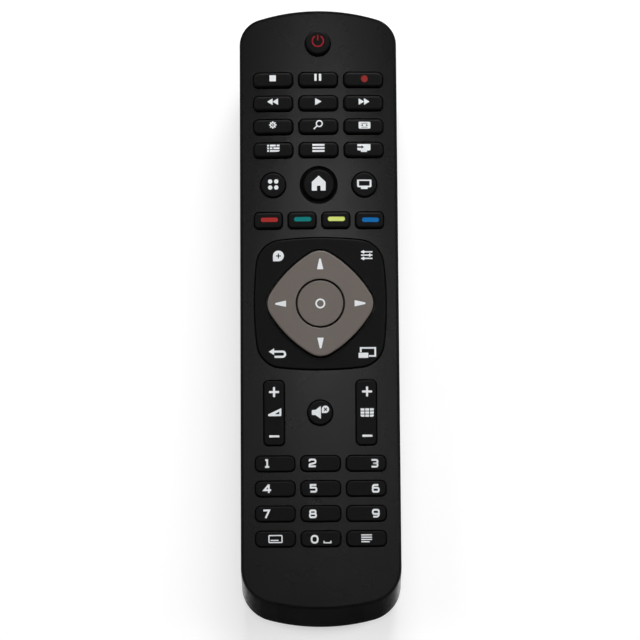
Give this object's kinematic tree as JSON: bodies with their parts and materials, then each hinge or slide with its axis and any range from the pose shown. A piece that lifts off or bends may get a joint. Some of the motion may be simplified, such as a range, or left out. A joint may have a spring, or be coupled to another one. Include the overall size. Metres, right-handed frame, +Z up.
{
  "type": "television remote control",
  "caption": "Slim handheld remote control with rubber keys, a tilting diamond direction pad in a square corner panel, two rockers and a sliding battery door.",
  "frame": {"origin": "centre of the footprint on the surface that the handset lies on", "axes": "+X across the handset to the right of its keys, +Y along it to the infrared end, +Z up through the keys"},
  "size_m": [0.0498, 0.1925, 0.025],
  "materials": {
    "case_plastic": "fine spark texture, black",
    "key_rubber": "soft matt silicone, black",
    "panel_plastic": "smooth satin, black",
    "pad_paint": "warm grey satin paint",
    "ir_filter": "infrared filter, near black",
    "board_laminate": "phenolic board",
    "carbon_ink": "printed carbon",
    "mat_rubber": "silicone",
    "cell_wrap": "plain printed sleeve",
    "nickel": "nickel plate",
    "screw_steel": "zinc plate",
    "lamp_resin": "tinted epoxy",
    "chip_resin": "moulded epoxy",
    "can_metal": "drawn can",
    "capacitor_sleeve": "shrink sleeve"
  },
  "bodies": {
    "case": {"front_case": "case_plastic", "rear_case": "case_plastic", "ir_window": "ir_filter", "circuit_board": "board_laminate", "carbon_contacts": "carbon_ink", "keypad_mat": "mat_rubber", "cell_left": "cell_wrap", "cell_right": "cell_wrap", "battery_contacts": "nickel", "battery_springs": "nickel", "case_screws": "screw_steel", "ir_led": "lamp_resin", "controller_chip": "chip_resin", "resonator": "can_metal", "capacitor": "capacitor_sleeve"},
    "door": {"battery_door": "case_plastic"},
    "power": {"power_key": "key_rubber"},
    "stop": {"stop_key": "key_rubber"},
    "pause": {"pause_key": "key_rubber"},
    "record": {"record_key": "key_rubber"},
    "rewind": {"rewind_key": "key_rubber"},
    "play": {"play_key": "key_rubber"},
    "forward": {"forward_key": "key_rubber"},
    "settings": {"settings_key": "key_rubber"},
    "search": {"search_key": "key_rubber"},
    "format": {"format_key": "key_rubber"},
    "guide": {"guide_key": "key_rubber"},
    "list": {"list_key": "key_rubber"},
    "source": {"source_key": "key_rubber"},
    "apps": {"apps_key": "key_rubber"},
    "home": {"home_key": "key_rubber"},
    "screen": {"screen_key": "key_rubber"},
    "mute": {"mute_key": "key_rubber"},
    "red": {"red_key": "key_rubber"},
    "green": {"green_key": "key_rubber"},
    "yellow": {"yellow_key": "key_rubber"},
    "blue": {"blue_key": "key_rubber"},
    "digit_1": {"digit_1_key": "key_rubber"},
    "digit_2": {"digit_2_key": "key_rubber"},
    "digit_3": {"digit_3_key": "key_rubber"},
    "digit_4": {"digit_4_key": "key_rubber"},
    "digit_5": {"digit_5_key": "key_rubber"},
    "digit_6": {"digit_6_key": "key_rubber"},
    "digit_7": {"digit_7_key": "key_rubber"},
    "digit_8": {"digit_8_key": "key_rubber"},
    "digit_9": {"digit_9_key": "key_rubber"},
    "subtitle": {"subtitle_key": "key_rubber"},
    "digit_0": {"digit_0_key": "key_rubber"},
    "text": {"text_key": "key_rubber"},
    "volume": {"volume_rocker": "key_rubber"},
    "programme": {"programme_rocker": "key_rubber"},
    "select": {"ok_key": "pad_paint"},
    "dpad_cradle": {"dpad_carrier": "mat_rubber"},
    "dpad": {"dpad_ring": "pad_paint"},
    "panel_cradle": {"panel_carrier": "mat_rubber"},
    "panel": {"corner_panel": "panel_plastic"}
  },
  "joints": [
    {"name": "door_slide", "type": "slide", "parent": "case", "child": "door", "axis": [0, -1, 0], "range_m": [0, 0.07]},
    {"name": "power_press", "type": "slide", "parent": "case", "child": "power", "axis": [0, 0, 1], "range_m": [-0.0008, 0], "stiffness_N_per_m": 1800, "springref_m": 0.0004, "deforming": ["keypad_mat"]},
    {"name": "stop_press", "type": "slide", "parent": "case", "child": "stop", "axis": [0, 0, 1], "range_m": [-0.0008, 0], "stiffness_N_per_m": 1800, "springref_m": 0.0004, "deforming": ["keypad_mat"]},
    {"name": "pause_press", "type": "slide", "parent": "case", "child": "pause", "axis": [0, 0, 1], "range_m": [-0.0008, 0], "stiffness_N_per_m": 1800, "springref_m": 0.0004, "deforming": ["keypad_mat"]},
    {"name": "record_press", "type": "slide", "parent": "case", "child": "record", "axis": [0, 0, 1], "range_m": [-0.0008, 0], "stiffness_N_per_m": 1800, "springref_m": 0.0004, "deforming": ["keypad_mat"]},
    {"name": "rewind_press", "type": "slide", "parent": "case", "child": "rewind", "axis": [0, 0, 1], "range_m": [-0.0008, 0], "stiffness_N_per_m": 1800, "springref_m": 0.0004, "deforming": ["keypad_mat"]},
    {"name": "play_press", "type": "slide", "parent": "case", "child": "play", "axis": [0, 0, 1], "range_m": [-0.0008, 0], "stiffness_N_per_m": 1800, "springref_m": 0.0004, "deforming": ["keypad_mat"]},
    {"name": "forward_press", "type": "slide", "parent": "case", "child": "forward", "axis": [0, 0, 1], "range_m": [-0.0008, 0], "stiffness_N_per_m": 1800, "springref_m": 0.0004, "deforming": ["keypad_mat"]},
    {"name": "settings_press", "type": "slide", "parent": "case", "child": "settings", "axis": [0, 0, 1], "range_m": [-0.0008, 0], "stiffness_N_per_m": 1800, "springref_m": 0.0004, "deforming": ["keypad_mat"]},
    {"name": "search_press", "type": "slide", "parent": "case", "child": "search", "axis": [0, 0, 1], "range_m": [-0.0008, 0], "stiffness_N_per_m": 1800, "springref_m": 0.0004, "deforming": ["keypad_mat"]},
    {"name": "format_press", "type": "slide", "parent": "case", "child": "format", "axis": [0, 0, 1], "range_m": [-0.0008, 0], "stiffness_N_per_m": 1800, "springref_m": 0.0004, "deforming": ["keypad_mat"]},
    {"name": "guide_press", "type": "slide", "parent": "case", "child": "guide", "axis": [0, 0, 1], "range_m": [-0.0008, 0], "stiffness_N_per_m": 1800, "springref_m": 0.0004, "deforming": ["keypad_mat"]},
    {"name": "list_press", "type": "slide", "parent": "case", "child": "list", "axis": [0, 0, 1], "range_m": [-0.0008, 0], "stiffness_N_per_m": 1800, "springref_m": 0.0004, "deforming": ["keypad_mat"]},
    {"name": "source_press", "type": "slide", "parent": "case", "child": "source", "axis": [0, 0, 1], "range_m": [-0.0008, 0], "stiffness_N_per_m": 1800, "springref_m": 0.0004, "deforming": ["keypad_mat"]},
    {"name": "apps_press", "type": "slide", "parent": "case", "child": "apps", "axis": [0, 0, 1], "range_m": [-0.0008, 0], "stiffness_N_per_m": 1800, "springref_m": 0.0004, "deforming": ["keypad_mat"]},
    {"name": "home_press", "type": "slide", "parent": "case", "child": "home", "axis": [0, 0, 1], "range_m": [-0.0008, 0], "stiffness_N_per_m": 1800, "springref_m": 0.0004, "deforming": ["keypad_mat"]},
    {"name": "screen_press", "type": "slide", "parent": "case", "child": "screen", "axis": [0, 0, 1], "range_m": [-0.0008, 0], "stiffness_N_per_m": 1800, "springref_m": 0.0004, "deforming": ["keypad_mat"]},
    {"name": "mute_press", "type": "slide", "parent": "case", "child": "mute", "axis": [0, 0, 1], "range_m": [-0.0008, 0], "stiffness_N_per_m": 1800, "springref_m": 0.0004, "deforming": ["keypad_mat"]},
    {"name": "red_press", "type": "slide", "parent": "case", "child": "red", "axis": [0, 0, 1], "range_m": [-0.0008, 0], "stiffness_N_per_m": 1800, "springref_m": 0.0004, "deforming": ["keypad_mat"]},
    {"name": "green_press", "type": "slide", "parent": "case", "child": "green", "axis": [0, 0, 1], "range_m": [-0.0008, 0], "stiffness_N_per_m": 1800, "springref_m": 0.0004, "deforming": ["keypad_mat"]},
    {"name": "yellow_press", "type": "slide", "parent": "case", "child": "yellow", "axis": [0, 0, 1], "range_m": [-0.0008, 0], "stiffness_N_per_m": 1800, "springref_m": 0.0004, "deforming": ["keypad_mat"]},
    {"name": "blue_press", "type": "slide", "parent": "case", "child": "blue", "axis": [0, 0, 1], "range_m": [-0.0008, 0], "stiffness_N_per_m": 1800, "springref_m": 0.0004, "deforming": ["keypad_mat"]},
    {"name": "digit_1_press", "type": "slide", "parent": "case", "child": "digit_1", "axis": [0, 0, 1], "range_m": [-0.0008, 0], "stiffness_N_per_m": 1800, "springref_m": 0.0004, "deforming": ["keypad_mat"]},
    {"name": "digit_2_press", "type": "slide", "parent": "case", "child": "digit_2", "axis": [0, 0, 1], "range_m": [-0.0008, 0], "stiffness_N_per_m": 1800, "springref_m": 0.0004, "deforming": ["keypad_mat"]},
    {"name": "digit_3_press", "type": "slide", "parent": "case", "child": "digit_3", "axis": [0, 0, 1], "range_m": [-0.0008, 0], "stiffness_N_per_m": 1800, "springref_m": 0.0004, "deforming": ["keypad_mat"]},
    {"name": "digit_4_press", "type": "slide", "parent": "case", "child": "digit_4", "axis": [0, 0, 1], "range_m": [-0.0008, 0], "stiffness_N_per_m": 1800, "springref_m": 0.0004, "deforming": ["keypad_mat"]},
    {"name": "digit_5_press", "type": "slide", "parent": "case", "child": "digit_5", "axis": [0, 0, 1], "range_m": [-0.0008, 0], "stiffness_N_per_m": 1800, "springref_m": 0.0004, "deforming": ["keypad_mat"]},
    {"name": "digit_6_press", "type": "slide", "parent": "case", "child": "digit_6", "axis": [0, 0, 1], "range_m": [-0.0008, 0], "stiffness_N_per_m": 1800, "springref_m": 0.0004, "deforming": ["keypad_mat"]},
    {"name": "digit_7_press", "type": "slide", "parent": "case", "child": "digit_7", "axis": [0, 0, 1], "range_m": [-0.0008, 0], "stiffness_N_per_m": 1800, "springref_m": 0.0004, "deforming": ["keypad_mat"]},
    {"name": "digit_8_press", "type": "slide", "parent": "case", "child": "digit_8", "axis": [0, 0, 1], "range_m": [-0.0008, 0], "stiffness_N_per_m": 1800, "springref_m": 0.0004, "deforming": ["keypad_mat"]},
    {"name": "digit_9_press", "type": "slide", "parent": "case", "child": "digit_9", "axis": [0, 0, 1], "range_m": [-0.0008, 0], "stiffness_N_per_m": 1800, "springref_m": 0.0004, "deforming": ["keypad_mat"]},
    {"name": "subtitle_press", "type": "slide", "parent": "case", "child": "subtitle", "axis": [0, 0, 1], "range_m": [-0.0008, 0], "stiffness_N_per_m": 1800, "springref_m": 0.0004, "deforming": ["keypad_mat"]},
    {"name": "digit_0_press", "type": "slide", "parent": "case", "child": "digit_0", "axis": [0, 0, 1], "range_m": [-0.0008, 0], "stiffness_N_per_m": 1800, "springref_m": 0.0004, "deforming": ["keypad_mat"]},
    {"name": "text_press", "type": "slide", "parent": "case", "child": "text", "axis": [0, 0, 1], "range_m": [-0.0008, 0], "stiffness_N_per_m": 1800, "springref_m": 0.0004, "deforming": ["keypad_mat"]},
    {"name": "volume_rock", "type": "hinge", "parent": "case", "child": "volume", "pos_m": [-0.0143, -0.0295, 0.0205], "axis": [1, 0, 0], "range_deg": [-3, 3], "stiffness_Nm_per_rad": 0.25, "deforming": ["keypad_mat"]},
    {"name": "programme_rock", "type": "hinge", "parent": "case", "child": "programme", "pos_m": [0.0143, -0.0295, 0.0205], "axis": [1, 0, 0], "range_deg": [-3, 3], "stiffness_Nm_per_rad": 0.25, "deforming": ["keypad_mat"]},
    {"name": "select_press", "type": "slide", "parent": "case", "child": "select", "axis": [0, 0, 1], "range_m": [-0.0008, 0], "stiffness_N_per_m": 1800, "springref_m": 0.0004, "deforming": ["keypad_mat"]},
    {"name": "dpad_up_down", "type": "hinge", "parent": "case", "child": "dpad_cradle", "pos_m": [0.00025, 0.00445, 0.0205], "axis": [1, 0, 0], "range_deg": [-2, 2], "stiffness_Nm_per_rad": 0.7, "deforming": ["keypad_mat", "dpad_carrier"]},
    {"name": "dpad_left_right", "type": "hinge", "parent": "dpad_cradle", "child": "dpad", "pos_m": [0.00025, 0.00445, 0.0205], "axis": [0, 1, 0], "range_deg": [-2, 2], "stiffness_Nm_per_rad": 0.7, "deforming": ["dpad_carrier"]},
    {"name": "panel_up_down", "type": "hinge", "parent": "case", "child": "panel_cradle", "pos_m": [0.00025, 0.00445, 0.0205], "axis": [1, 0, 0], "range_deg": [-0.8, 0.8], "stiffness_Nm_per_rad": 1.5, "deforming": ["keypad_mat", "panel_carrier"]},
    {"name": "panel_left_right", "type": "hinge", "parent": "panel_cradle", "child": "panel", "pos_m": [0.00025, 0.00445, 0.0205], "axis": [0, 1, 0], "range_deg": [-0.8, 0.8], "stiffness_Nm_per_rad": 1.5, "deforming": ["panel_carrier"]}
  ]
}
